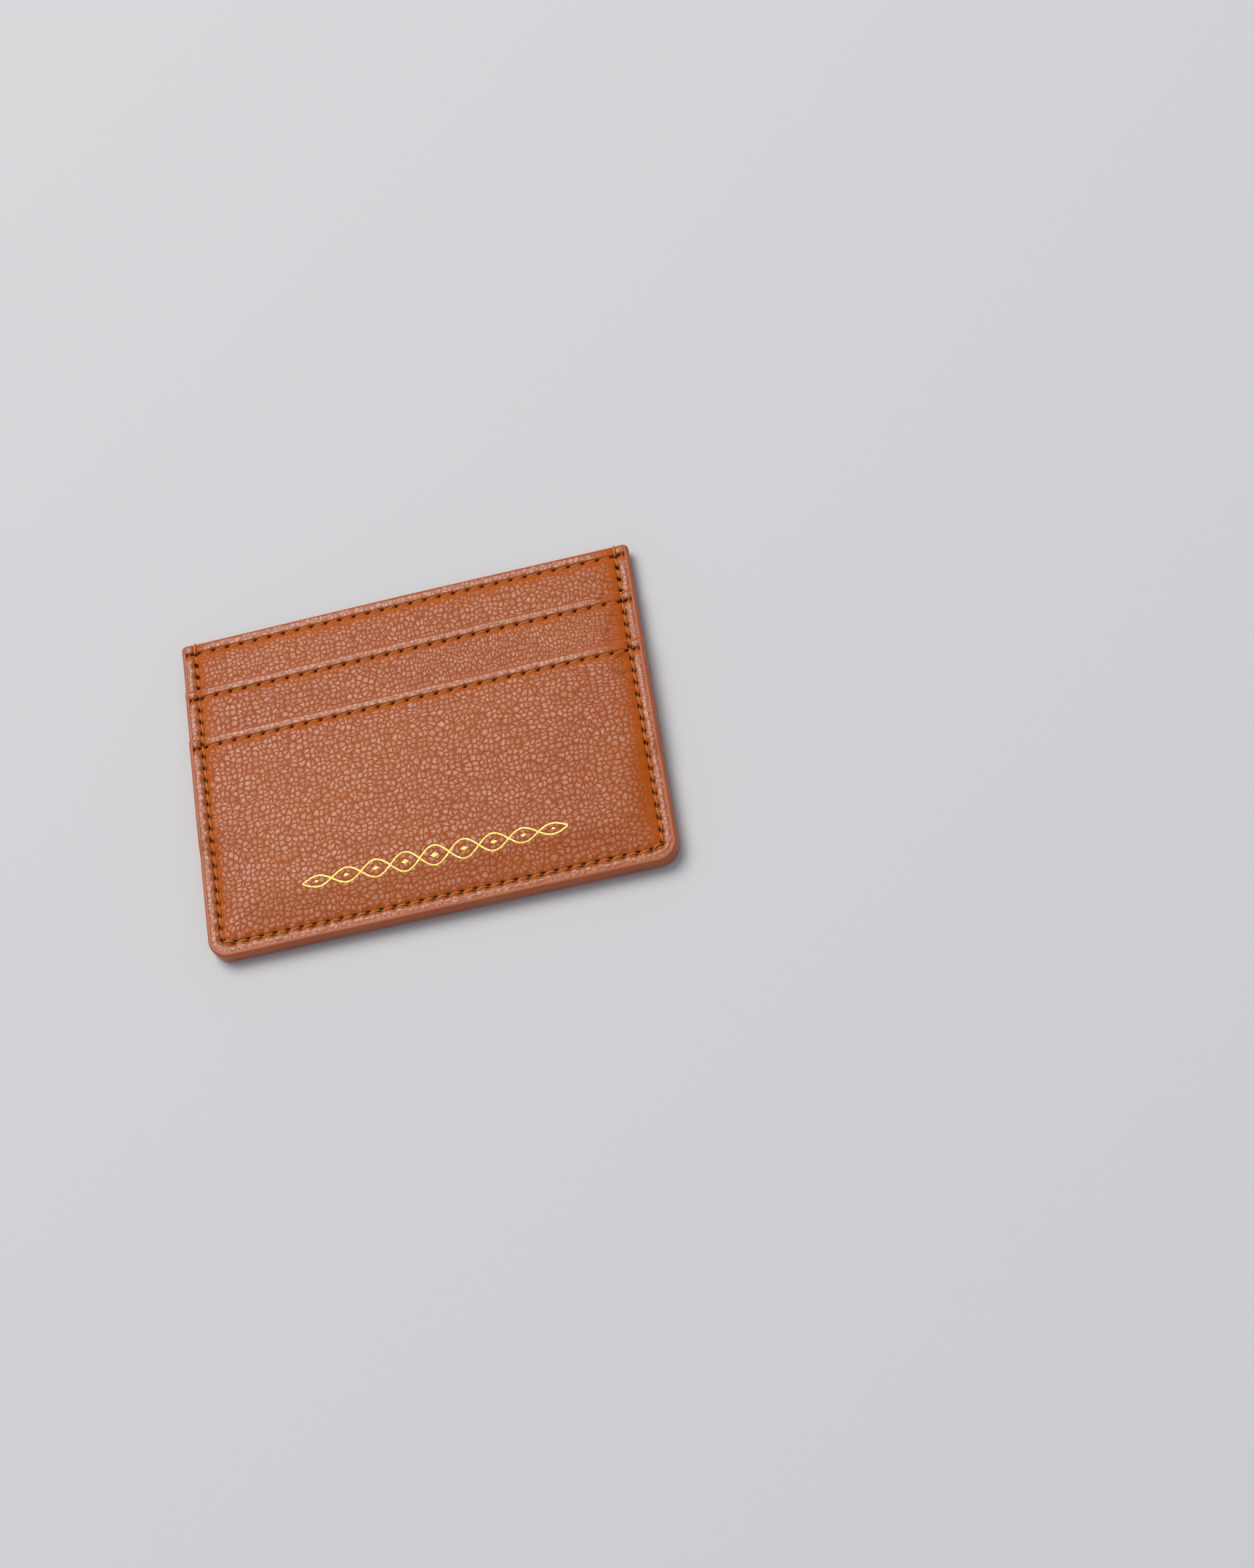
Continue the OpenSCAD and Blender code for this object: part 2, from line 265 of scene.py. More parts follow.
# level of whichever layer lies on top at that point
def outerLevel(x, h, half):
    base, upper, lower = (faceLevel(kind, x, h, half) for kind in ("base", "upper", "lower"))
    level = base + (upper - base) * rise(upperSlot + 0.25, upperSlot - 0.15, h)
    return level + (lower - level) * rise(lowerSlot + 0.25, lowerSlot - 0.15, h)


# the braid's two lines are sine waves whose height tapers towards both ends
braid = {"length": 57.0, "height": 4.4, "eyes": 9, "line": 0.45, "up": 12.0,
         "lozenge": (2.0, 1.2), "depth": 0.06, "proud": 0.03}


def braidTaper(t):
    return 0.45 + 0.55 * np.sin(math.pi * t)


def braidWave(t):
    return braid["height"] / 2 * braidTaper(t) * np.sin(math.pi * braid["eyes"] * t)


def braidSlope(t):
    return (braidWave(t + 0.0005) - braidWave(t - 0.0005)) / (0.001 * braid["length"])


# 1 where the warm stamp pressed the leather, 0 clear of it
def braidMask(x, h):
    t = x / braid["length"] + 0.5
    up = h - braid["up"]
    wave, lean = braidWave(t), np.sqrt(1 + braidSlope(t) ** 2)
    away = np.minimum(np.abs(up - wave), np.abs(up + wave)) / lean
    mask = rise(braid["line"] / 2 + 0.25, braid["line"] / 2 - 0.05, away)
    place = (np.floor(np.clip(t, 0, 0.9999) * braid["eyes"]) + 0.5) / braid["eyes"]
    size = braidTaper(place) / 2
    reach = np.abs(t - place) * braid["length"] / (braid["lozenge"][0] * size)
    reach = reach + np.abs(up) / (braid["lozenge"][1] * size)
    return np.maximum(mask, rise(1.3, 0.95, reach)) * ((t > -0.005) & (t < 1.005))


grain = {"cell": 1.22, "finer": 2.6, "depth": 0.034, "small": 0.012, "fold": 0.06, "drift": 0.75}


# The leather's own coordinates, in cells: bent by slow noise, and packed closer where a seam gathers it
def grainPlace(kind, x, h, half):
    seed = panels[kind]["seed"] + (20 if half < 0 else 0)
    gx = x + 0.25 * softNoise(x, h, 1.6, seed) + grain["drift"] * softNoise(x, h, 6, seed + 1)
    gh = h + 0.25 * softNoise(x, h, 1.6, seed + 2) + grain["drift"] * softNoise(x, h, 6, seed + 3)
    along = np.linspace(-60, 60, 481)
    middle = panels[kind]["row"] - 9
    if kind == "upper":   # packed sideways over the middle, and upwards at the right end
        packed = np.cumsum(0.6 * rise(-14, 12, along) * rise(44, 32, along)) * 0.25
        gx = gx + np.interp(x, along, packed)
        gh = gh + 0.8 * (h - middle) * rise(28, 44, x)
    if kind == "lower":
        gh = gh + 0.55 * (h - middle) * rise(32, 44, x) * rise(28, 42, h)
    if kind == "base":
        gx = gx + 0.12 * x
    return gx / grain["cell"] + 9 * (seed % 9), gh / grain["cell"] - 7 * (seed % 7)


# Relief of the leather and the masks that colour it: cells with creases, smooth where a seam or a slot's end
# stretches the leather, and folds fanning off the ends of the slots. The folds, needle holes and row grooves
# are coloured dark as painted shade.
def leatherRelief(kind, x, h, half):
    seed = panels[kind]["seed"] + (20 if half < 0 else 0)
    p = panels[kind]
    gx, gh = grainPlace(kind, x, h, half)
    dome = 1 - bell(creaseDistance(gx, gh), 0.2)
    small = 1 - bell(creaseDistance(gx * grain["finer"], gh * grain["finer"]), 0.2)
    side = np.maximum(seamX - np.abs(x), 0)
    inside = (np.abs(x) < seamX) * rise(-0.4, 0.2, seamDepth(x, h))
    lean = 0.5 + 0.5 * softNoise(x, h, 3.2, seed + 4)
    wide = {"base": 1.3, "upper": 1.4, "lower": 0.9}[kind] * (0.75 + 0.55 * rise(-1, 1, x))
    stretch = 0.95 * bell(side, wide * (1.2 + 1.3 * lean)) * inside
    right, over = rise(-1, 1, x), h - p["row"]
    above = bell(side, 5.0) * bell(over - 0.8, 1.6) * (0.3 + 0.7 * right)
    beneath = bell(side, 3.2) * bell(over + 2.5, 3.2 + lean) * (1 - 0.3 * right)
    stretch = np.maximum(stretch, 0.9 * np.maximum(above, beneath) * inside)
    stretch = np.maximum(stretch, 0.9 * bell(h - p["row"] + 0.5, 0.4 + 0.5 * lean))
    if kind == "base":
        below = np.maximum(p["row"] - h, 0)
        stretch = np.maximum(stretch, 0.95 * bell(below, 0.9 + 1.6 * lean) * inside * (h < p["row"]))
    stretch = np.maximum(stretch, 0.35 * bell(h - holder["seamInset"] - 0.4, 0.5) * (seamDepth(x, h) > -0.3))
    fold = np.zeros_like(x)
    for centre, seedFan in ((lowerSlot + 3.0, 41), (lowerRow - 3.5, 42), (upperRow + 2.0, 43)):
        angle = np.arctan2(h - centre, 60 - x) * 24 + 0.5 * softNoise(x, h, 4, 44)
        away = np.hypot((h - centre) * 1.3, seamX - x)
        ridge = np.abs(softNoise(angle, away / 9, 1.0, seedFan + seed))
        fold = np.maximum(fold, bell(ridge, 0.1) * bell(away, 9) * rise(46.9, 45, x) * (x > 0))
    amount = 1 - 0.88 * stretch
    relief = (grain["depth"] * (dome - 0.85) + grain["small"] * (small - 0.7)) * amount - grain["fold"] * fold
    hole = holeMask(x, h, 0.55, 0.38)
    pinch = holeMask(x, h, 0.85, 0.95)
    deep = press["hole"] * (0.5 if kind == "base" else 1)
    relief = relief * (1 - hole) - deep * hole - press["pinch"] * pinch
    pressed = np.zeros_like(x)
    if kind == "lower" and half > 0:
        pressed = braidMask(x, h)
        relief = relief * (1 - 0.75 * pressed) - braid["depth"] * pressed
    # painted shade: the needle holes, and a thin line along the groove under each row, are coloured dark as
    # shade falls in them
    rowGrooveShade = 0.7 * bell(h - p["row"] - 0.03, 0.13) * (np.abs(x) < seamX)
    dark = np.maximum(rise(0.25, 0.65, hole), rowGrooveShade)
    stretched = np.clip(stretch, 0, 1)
    rubbed = np.maximum(rise(0.12, 0.4, over), rise(-0.6, -1.0, seamDepth(x, h))) * (1 - stretched)
    masks = {"stretched": stretched, "needleHole": dark, "pressed": pressed, "fold": fold, "rubbed": rubbed,
             "grainPlace": np.stack([gx, gh, np.zeros_like(gx)], -1)}
    return relief, masks


def intoScene(item):
    bpy.context.scene.collection.objects.link(item)
    return item


# puts points in mm, with levels measured outwards from the middle plane on that half, into a new piece
def makePiece(name, points, quads, triangles, half, attributes=None, uv=None):
    points = np.array(points, float)
    points[:, 1] += bottomY
    points[:, 2] = midLevel + half * points[:, 2]
    if half < 0:
        quads, triangles = quads[:, ::-1], triangles[:, ::-1]
    mesh = bpy.data.meshes.new(name)
    mesh.vertices.add(len(points))
    mesh.vertices.foreach_set("co", (points * mm).astype(np.float32).ravel())
    corners = np.concatenate([quads.ravel(), triangles.ravel()]).astype(np.int32)
    starts = np.concatenate([np.arange(len(quads)) * 4, len(quads) * 4 + np.arange(len(triangles)) * 3])
    mesh.loops.add(len(corners))
    mesh.loops.foreach_set("vertex_index", corners)
    mesh.polygons.add(len(starts))
    mesh.polygons.foreach_set("loop_start", starts.astype(np.int32))
    mesh.polygons.foreach_set("use_smooth", np.ones(len(starts), bool))
    for key, values in (attributes or {}).items():
        many = np.ndim(values) > 1
        layer = mesh.attributes.new(key, "FLOAT_VECTOR" if many else "FLOAT", "POINT")
        layer.data.foreach_set("vector" if many else "value", np.asarray(values, np.float32).ravel())
    if uv is not None:
        layer = mesh.uv_layers.new(name="along")
        layer.uv.foreach_set("vector", np.asarray(uv, np.float32)[corners].ravel())
    mesh.update(calc_edges=True)
    return intoScene(bpy.data.objects.new(name, mesh))


# rising values through stretches of (from, to, step); their count is one more than a multiple of four
def spread(*stretches):
    parts = [np.linspace(a, b, max(1, math.ceil((b - a) / step)) + 1)[:-1] for a, b, step in stretches]
    values = np.concatenate(parts + [[stretches[-1][1]]])
    count = len(values)
    more = count + (-(count - 1)) % 4
    return np.interp(np.linspace(0, count - 1, more), np.arange(count), values)


def gridQuads(rows, columns, first=0):
    i, j = np.meshgrid(np.arange(rows - 1), np.arange(columns - 1), indexing="ij")
    a = first + i * columns + j
    return np.stack([a, a + 1, a + columns + 1, a + columns], -1).reshape(-1, 4)


def gridRim(rows, columns, first=0):
    index = first + np.arange(rows * columns).reshape(rows, columns)
    return np.concatenate([index[0, :-1], index[:-1, -1], index[-1, :0:-1], index[:0:-1, 0]])


# A closed layer: a fine outer face over a grid of width shares and heights, an inner face with every fourth
# line of it, and a rim of triangles between the two
def closedLayer(name, shares, heights, inset, outer, thickness, half):
    share, h = np.meshgrid(shares, heights)
    x = share * widthAt(h, inset)
    level, relief, attributes = outer(x, h)
    coarse = (slice(None, None, 4), slice(None, None, 4))
    top = np.stack([x, h, level + relief], -1).reshape(-1, 3)
    under = np.stack([x[coarse], h[coarse], level[coarse] - thickness], -1).reshape(-1, 3)
    rows, columns = h.shape
    lowRows, lowColumns = h[coarse].shape
    quads = np.concatenate([gridQuads(rows, columns), gridQuads(lowRows, lowColumns, len(top))[:, ::-1]])
    fine, wide = gridRim(rows, columns), gridRim(lowRows, lowColumns, len(top))
    k = np.arange(len(fine))
    here, there = wide[((k + 2) // 4) % len(wide)], wide[((k + 3) // 4) % len(wide)]
    following = fine[(k + 1) % len(fine)]
    first = np.stack([fine, here, following], -1)
    second = np.stack([following, here, there], -1)[here != there]
    full = {}
    for key, values in attributes.items():
        rest = values.shape[2:]
        full[key] = np.concatenate([values.reshape(-1, *rest), np.zeros((len(under), *rest))])
    return makePiece(name, np.concatenate([top, under]), quads, np.concatenate([first, second]), half, full)


# skins loops of points, ring after ring, with a flat cap at each end; several runs can share one mesh
def ringSkin(name, runs, half, uvRuns=None):
    points, quads, triangles, uv, first = [], [], [], [], 0
    for number, rings in enumerate(runs):
        count, sides = rings.shape[:2]
        i, j = np.meshgrid(np.arange(count - 1), np.arange(sides), indexing="ij")
        a, b = first + i * sides + j, first + i * sides + (j + 1) % sides
        quads.append(np.stack([a, b, b + sides, a + sides], -1).reshape(-1, 4))
        fan = np.arange(1, sides - 1)
        last = first + (count - 1) * sides
        triangles.append(np.stack([np.full(len(fan), first), first + fan + 1, first + fan], -1))
        triangles.append(np.stack([np.full(len(fan), last), last + fan, last + fan + 1], -1))
        points.append(rings.reshape(-1, 3))
        if uvRuns is not None:
            uv.append(uvRuns[number].reshape(-1, 2))
        first += count * sides
    return makePiece(name, np.concatenate(points), np.concatenate(quads), np.concatenate(triangles), half,
                     uv=np.concatenate(uv) if uv else None)


# Materials


def colour(*rgb):
    return tuple((v / 255 / 12.92 if v < 11 else ((v / 255 + 0.055) / 1.055) ** 2.4) for v in rgb) + (1.0,)


def newGroup(name, inputs, outputs):
    group = bpy.data.node_groups.new(name, "ShaderNodeTree")
    for label, kind, value in inputs:
        socket = group.interface.new_socket(name=label, in_out="INPUT", socket_type=kind)
        if value is not None:
            socket.default_value = value
    for label, kind in outputs:
        group.interface.new_socket(name=label, in_out="OUTPUT", socket_type=kind)
    return group, group.nodes.new("NodeGroupInput"), group.nodes.new("NodeGroupOutput")


# links a node's output into a socket, or sets the socket's value
def fill(tree, socket, value):
    if isinstance(value, bpy.types.NodeSocket):
        tree.links.new(value, socket)
    else:
        socket.default_value = value


def addNode(tree, kind, settings=None, **inputs):
    node = tree.nodes.new(kind)
    for key, value in (settings or {}).items():
        setattr(node, key, value)
    for key, value in inputs.items():
        fill(tree, node.inputs[int(key[1:])] if key[1:].isdigit() else node.inputs[key], value)
    return node


def mathOf(operation):
    def node(tree, a, b, clamp=False):
        settings = {"operation": operation, "use_clamp": clamp}
        return addNode(tree, "ShaderNodeMath", settings, i0=a, i1=b).outputs[0]
    return node


times, plus, minus, larger = (mathOf(name) for name in ("MULTIPLY", "ADD", "SUBTRACT", "MAXIMUM"))


def remap(tree, value, low, high):
    return addNode(tree, "ShaderNodeMapRange", Value=value, i3=low, i4=high).outputs[0]


def setValues(shader, **values):
    for key, value in values.items():
        shader.inputs[key.replace("_", " ")].default_value = value


def mixColour(tree, share, a, b):
    node = tree.nodes.new("ShaderNodeMix")
    node.data_type = "RGBA"
    for number, value in ((0, share), (6, a), (7, b)):
        fill(tree, node.inputs[number], value)
    return node.outputs[2]


# smooth step of a value between a and b, from 0 to 1
def ramp(tree, value, a, b):
    return addNode(tree, "ShaderNodeMapRange", {"interpolation_type": "SMOOTHSTEP"}, Value=value, i1=a,
                   i2=b).outputs[0]


# slow drift of tone over the piece: two sizes of noise, from 0 to 1
toneDrift, groupIn, groupOut = newGroup(
    "toneDrift",
    [("Vector", "NodeSocketVector", None), ("Scale", "NodeSocketFloat", 60.0),
     ("Fine", "NodeSocketFloat", 0.3)],
    [("Tone", "NodeSocketFloat")])
own, scale = groupIn.outputs["Vector"], groupIn.outputs["Scale"]
slow = addNode(toneDrift, "ShaderNodeTexNoise", Vector=own, Scale=scale, Detail=2.0, Roughness=0.5)
quick = addNode(toneDrift, "ShaderNodeTexNoise", Vector=own, Scale=times(toneDrift, scale, 9.0), Detail=2.0)
fineShare = times(toneDrift, minus(toneDrift, quick.outputs[0], 0.5),
                     groupIn.outputs["Fine"])
toneDrift.links.new(plus(toneDrift, slow.outputs[0], fineShare, True), groupOut.inputs["Tone"])

# fine grain of paint and foil: a height from small cells on bent coordinates, with finer cells inside them
# and a little noise on top
fineGrain, groupIn, groupOut = newGroup(
    "fineGrain",
    [("Vector", "NodeSocketVector", None), ("Cells per metre", "NodeSocketFloat", 1400.0),
     ("Noise share", "NodeSocketFloat", 0.4)],
    [("Height", "NodeSocketFloat")])
own, cells = groupIn.outputs["Vector"], groupIn.outputs["Cells per metre"]
flatEdges = {"feature": "DISTANCE_TO_EDGE", "voronoi_dimensions": "2D"}
bend = addNode(fineGrain, "ShaderNodeTexNoise", Vector=own, Scale=times(fineGrain, cells, 0.6), Detail=1.0)
bent = addNode(fineGrain, "ShaderNodeVectorMath", {"operation": "MULTIPLY_ADD"}, i0=bend.outputs["Color"],
               i1=(0.0007, 0.0007, 0.0), i2=own).outputs[0]
small = addNode(fineGrain, "ShaderNodeTexVoronoi", flatEdges, Vector=bent, Scale=cells)
finer = addNode(fineGrain, "ShaderNodeTexVoronoi", flatEdges, Vector=bent, Scale=times(fineGrain, cells, 2.3))
smallTop = times(fineGrain, small.outputs["Distance"], 6.5, True)
finerTop = plus(fineGrain, times(fineGrain, finer.outputs["Distance"], 3.2), 0.45, True)
fuzz = addNode(fineGrain, "ShaderNodeTexNoise", Vector=own, Scale=times(fineGrain, cells, 5.0), Detail=2.0)
fuzzShare = times(fineGrain, fuzz.outputs[0], groupIn.outputs["Noise share"])
height = plus(fineGrain, times(fineGrain, smallTop, finerTop), fuzzShare)
fineGrain.links.new(height, groupOut.inputs["Height"])


def newMaterial(name):
    material = bpy.data.materials.new(name)
    material.use_nodes = True
    tree = material.node_tree
    place = tree.nodes.new("ShaderNodeTexCoord")
    return material, tree, tree.nodes["Principled BSDF"], place


def placeGroup(tree, group, vector, **values):
    node = tree.nodes.new("ShaderNodeGroup")
    node.node_tree = group
    tree.links.new(vector, node.inputs["Vector"])
    for key, value in values.items():
        node.inputs[key.replace("_", " ")].default_value = value
    return node


def toneOf(tree, place, scale, fine):
    return placeGroup(tree, toneDrift, place.outputs["Object"], Scale=scale, Fine=fine).outputs["Tone"]


def attributeOf(tree, name):
    return addNode(tree, "ShaderNodeAttribute", {"attribute_name": name}).outputs["Fac"]


def feed(tree, value, shader, socket):
    tree.links.new(value, shader.inputs[socket])


def addBump(tree, shader, height, distance, strength=1.0):
    bump = addNode(tree, "ShaderNodeBump", Height=height, Distance=distance, Strength=strength)
    feed(tree, bump.outputs["Normal"], shader, "Normal")


# The leather's own cells on its own coordinates: 1 on the flat tops, 1 in the thin crease lines between
# cells, which the leather darkens as painted shade, and a height. Each cell shines by its own amount, and
# finer lines run over the tops.
pebbles, groupIn, groupOut = newGroup(
    "pebbles",
    [("Vector", "NodeSocketVector", None), ("Finer", "NodeSocketFloat", grain["finer"]),
     ("Speckle", "NodeSocketFloat", 0.5)],
    [("Top", "NodeSocketFloat"), ("Line", "NodeSocketFloat"), ("Height", "NodeSocketFloat")])
own = groupIn.outputs["Vector"]
wander = addNode(pebbles, "ShaderNodeTexNoise", Vector=own, Scale=2.4, Detail=2.0)
place = addNode(pebbles, "ShaderNodeVectorMath", {"operation": "MULTIPLY_ADD"}, i0=wander.outputs["Color"],
                i1=(0.4, 0.4, 0.0), i2=own).outputs[0]
place = addNode(pebbles, "ShaderNodeVectorMath", {"operation": "ADD"}, i0=place,
                i1=(-0.2, -0.2, 0.0)).outputs[0]
edge = addNode(pebbles, "ShaderNodeTexVoronoi", flatEdges, Vector=place, Scale=1.0,
               Randomness=cellSpread).outputs["Distance"]
owner = addNode(pebbles, "ShaderNodeTexVoronoi", {"voronoi_dimensions": "2D"}, Vector=place, Scale=1.0,
                Randomness=cellSpread)
chance = addNode(pebbles, "ShaderNodeSeparateColor", i0=owner.outputs["Color"]).outputs[0]
finer = addNode(pebbles, "ShaderNodeTexVoronoi", flatEdges, Vector=place, Scale=groupIn.outputs["Finer"],
                Randomness=cellSpread).outputs["Distance"]
speck = addNode(pebbles, "ShaderNodeTexNoise", Vector=own, Scale=4.6, Detail=2.5, Roughness=0.7).outputs[0]
roundTop = minus(pebbles, 1.0, ramp(pebbles, owner.outputs["Distance"], 0.2, 0.74))
top = times(pebbles, ramp(pebbles, edge, 0.02, 0.26), roundTop)
finerTop = ramp(pebbles, finer, 0.0, 0.28)
noisy = times(pebbles, minus(pebbles, speck, 0.5), groupIn.outputs["Speckle"])
shine = times(pebbles, top, remap(pebbles, chance, 0.45, 1.1))
shine = times(pebbles, shine, remap(pebbles, finerTop, 0.4, 1.0))
shine = larger(pebbles, shine, times(pebbles, finerTop, 0.16))
shine = plus(pebbles, shine, times(pebbles, noisy, ramp(pebbles, edge, -0.1, 0.2)), True)
line = minus(pebbles, 1.0, ramp(pebbles, edge, 0.0, 0.12), True)
fineLine = times(pebbles, minus(pebbles, 1.0, ramp(pebbles, finer, 0.0, 0.16)), 0.35)
height = plus(pebbles, times(pebbles, ramp(pebbles, edge, 0.0, 0.16), 0.55), times(pebbles, finerTop, 0.3))
height = plus(pebbles, height, times(pebbles, speck, 0.5))
pebbles.links.new(shine, groupOut.inputs["Top"])
pebbles.links.new(larger(pebbles, line, fineLine), groupOut.inputs["Line"])
pebbles.links.new(height, groupOut.inputs["Height"])

# line is painted shade in the creases between cells and in the fan folds; hole is painted shade in the needle
# holes and along each row's groove
leatherLook = {"body": colour(180, 91, 30), "deep": colour(172, 78, 18), "line": colour(132, 54, 12),
               "stretched": colour(190, 90, 20), "hole": colour(44, 18, 8), "topRough": 0.5, "lineRough": 0.7,
               "shine": 0.95, "haze": 0.02, "rubbed": 0.3}


def leatherMaterial():
    material, tree, shader, place = newMaterial("pebbledLeather")
    stretched, hole = attributeOf(tree, "stretched"), attributeOf(tree, "needleHole")
    pressed, fold = attributeOf(tree, "pressed"), attributeOf(tree, "fold")
    own = addNode(tree, "ShaderNodeAttribute", {"attribute_name": "grainPlace"}).outputs["Vector"]
    cells = placeGroup(tree, pebbles, own, Finer=grain["finer"], Speckle=2.1)
    drift = toneOf(tree, place, 45.0, 0.5)
    taut = minus(tree, 1.0, times(tree, stretched, 0.92))
    driftShare = times(tree, minus(tree, drift, 0.35), 2.0, True)
    shade = mixColour(tree, driftShare, leatherLook["body"], leatherLook["deep"])
    shade = mixColour(tree, times(tree, stretched, 0.85), shade, leatherLook["stretched"])
    # painted shade: the crease lines between cells take the darker line colour, as shade falls in them
    lines = times(tree, times(tree, cells.outputs["Line"], taut), 0.62)
    # painted shade in the fan folds off the slot ends, in the same dark line colour; the stamped braid is
    # darkened a little too
    lines = larger(tree, lines, times(tree, fold, 0.8))
    lines = larger(tree, lines, times(tree, pressed, 0.3))
    shade = mixColour(tree, lines, shade, leatherLook["line"])
    # painted shade in the needle holes and along each row's groove
    shade = mixColour(tree, hole, shade, leatherLook["hole"])
    feed(tree, shade, shader, "Base Color")
    rough = remap(tree, cells.outputs["Top"], leatherLook["lineRough"], leatherLook["topRough"])
    feed(tree, rough, shader, "Roughness")
    # the finish is polished on top of the cells, and dull in the creases and where the leather is stretched
    clear = times(tree, taut, minus(tree, 1.0, larger(tree, hole, fold)))
    polish = remap(tree, cells.outputs["Top"], leatherLook["haze"], leatherLook["shine"])
    polish = plus(tree, polish, times(tree, attributeOf(tree, "rubbed"), leatherLook["rubbed"]))
    feed(tree, times(tree, polish, clear, True), shader, "Coat Weight")
    setValues(shader, Coat_Roughness=0.34, Coat_IOR=1.85, Specular_IOR_Level=0.06)
    addBump(tree, shader, times(tree, cells.outputs["Height"], taut), 0.00004, 0.9)
    return material


# the coat on the outline is glossier than the one on the slot edges and the top edge
def paintMaterial(name, toneScale, cells, light, dark):
    material, tree, shader, place = newMaterial(name)
    drift = toneOf(tree, place, toneScale, 0.7)
    fine = placeGroup(tree, fineGrain, place.outputs["Object"], Cells_per_metre=cells, Noise_share=1.2)
    shade = mixColour(tree, drift, light, dark)
    feed(tree, shade, shader, "Base Color")
    if name == "edgePaint":
        feed(tree, remap(tree, drift, 0.34, 0.46), shader, "Roughness")
    else:
        setValues(shader, Roughness=0.5, Specular_IOR_Level=0.35)
    addBump(tree, shader, fine.outputs["Height"], 0.000012, 0.5)
    return material


# strands wound round the thread: slanted bands across its own map, with fine fibres between them. The twist
# is the thread's own; the lighter band colour is a painted highlight on each strand
def threadMaterial():
    material, tree, shader, place = newMaterial("sewingThread")
    turned = addNode(tree, "ShaderNodeMapping", Vector=place.outputs["UV"])
    turned.inputs["Rotation"].default_value = (0, 0, 0.6)
    bands = addNode(tree, "ShaderNodeTexWave", {"wave_type": "BANDS"}, Vector=turned.outputs[0], Scale=0.9,
                    Distortion=0.6, Detail=1.0)
    drift = toneOf(tree, place, 400.0, 0.6)
    # painted highlight: the lighter of the two band colours lights the crown of each strand
    shade = mixColour(tree, bands.outputs["Fac"], colour(190, 102, 34), colour(248, 176, 84))
    shade = mixColour(tree, times(tree, drift, 0.5), shade, colour(216, 126, 48))
    feed(tree, shade, shader, "Base Color")
    setValues(shader, Roughness=0.6, Sheen_Weight=0.08)
    addBump(tree, shader, bands.outputs["Fac"], 0.00006, 0.8)
    return material


# plain weave: two crossed sets of bands, each shown where the other dips
def clothMaterial():
    material, tree, shader, place = newMaterial("pocketCloth")
    warp, weft = (addNode(tree, "ShaderNodeTexWave", {"bands_direction": way}, Vector=place.outputs["Object"],
                          Scale=1000.0, Distortion=0.4).outputs["Fac"] for way in ("X", "Y"))
    weave = larger(tree, warp, weft)
    drift = toneOf(tree, place, 80.0, 0.8)
    shade = mixColour(tree, weave, colour(62, 38, 26), colour(112, 74, 50))
    shade = mixColour(tree, times(tree, drift, 0.4), shade, colour(86, 54, 36))
    feed(tree, shade, shader, "Base Color")
    setValues(shader, Roughness=0.85, Sheen_Weight=0.3)
    addBump(tree, shader, weave, 0.00004, 0.7)
    return material


def boardMaterial():
    material, tree, shader, place = newMaterial("stiffenerBoard")
    long = addNode(tree, "ShaderNodeMapping", Vector=place.outputs["Object"])
    long.inputs["Scale"].default_value = (0.25, 1.0, 1.0)
    fibres = addNode(tree, "ShaderNodeTexNoise", Vector=long.outputs[0], Scale=2500.0, Detail=3.0)
    drift = toneOf(tree, place, 70.0, 0.9)
    shade = mixColour(tree, fibres.outputs[0], colour(168, 150, 126), colour(206, 192, 168))
    shade = mixColour(tree, times(tree, drift, 0.5), shade, colour(184, 168, 142))
    feed(tree, shade, shader, "Base Color")
    setValues(shader, Roughness=0.9)
    addBump(tree, shader, fibres.outputs[0], 0.00003, 0.6)
    return material


def foilMaterial():
    material, tree, shader, place = newMaterial("goldFoil")
    drift = toneOf(tree, place, 500.0, 1.0)
    fine = placeGroup(tree, fineGrain, place.outputs["Object"], Cells_per_metre=1900.0, Noise_share=0.8)
    shade = mixColour(tree, drift, colour(255, 226, 140), colour(226, 176, 88))
    feed(tree, shade, shader, "Base Color")
    setValues(shader, Metallic=1.0)
    feed(tree, remap(tree, drift, 0.22, 0.42), shader, "Roughness")
    addBump(tree, shader, fine.outputs["Height"], 0.00003, 0.8)
    return material


leather = leatherMaterial()
paint = paintMaterial("edgePaint", 90.0, 900.0, colour(188, 98, 52), colour(164, 80, 42))
slotPaint = paintMaterial("slotEdgePaint", 120.0, 1200.0, colour(198, 98, 40), colour(182, 86, 34))
thread, cloth, board, foil = threadMaterial(), clothMaterial(), boardMaterial(), foilMaterial()
print("materials made")


# gives a new piece its finish, its body and the node it stands for
def finishPiece(piece, material, node):
    piece.data.materials.append(material)
    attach(piece, "root")
    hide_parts(node)
    return piece


# Leather panels: fine where they show, coarse where another layer covers them

mesh = {"step": 0.262, "fine": 0.2, "seam": 0.13, "hidden": 1.6}


def shares(step):
    edge = holder["halfWidth"] - holder["paint"]
    near = seamX - 0.65, seamX + 0.65
    side = [(near[0], near[1], mesh["seam"]), (near[1], edge, 0.25)]
    left = [(-b, -a, s) for a, b, s in side[::-1]]
    return spread(*left, (-near[0], near[0], step), *side) / edge


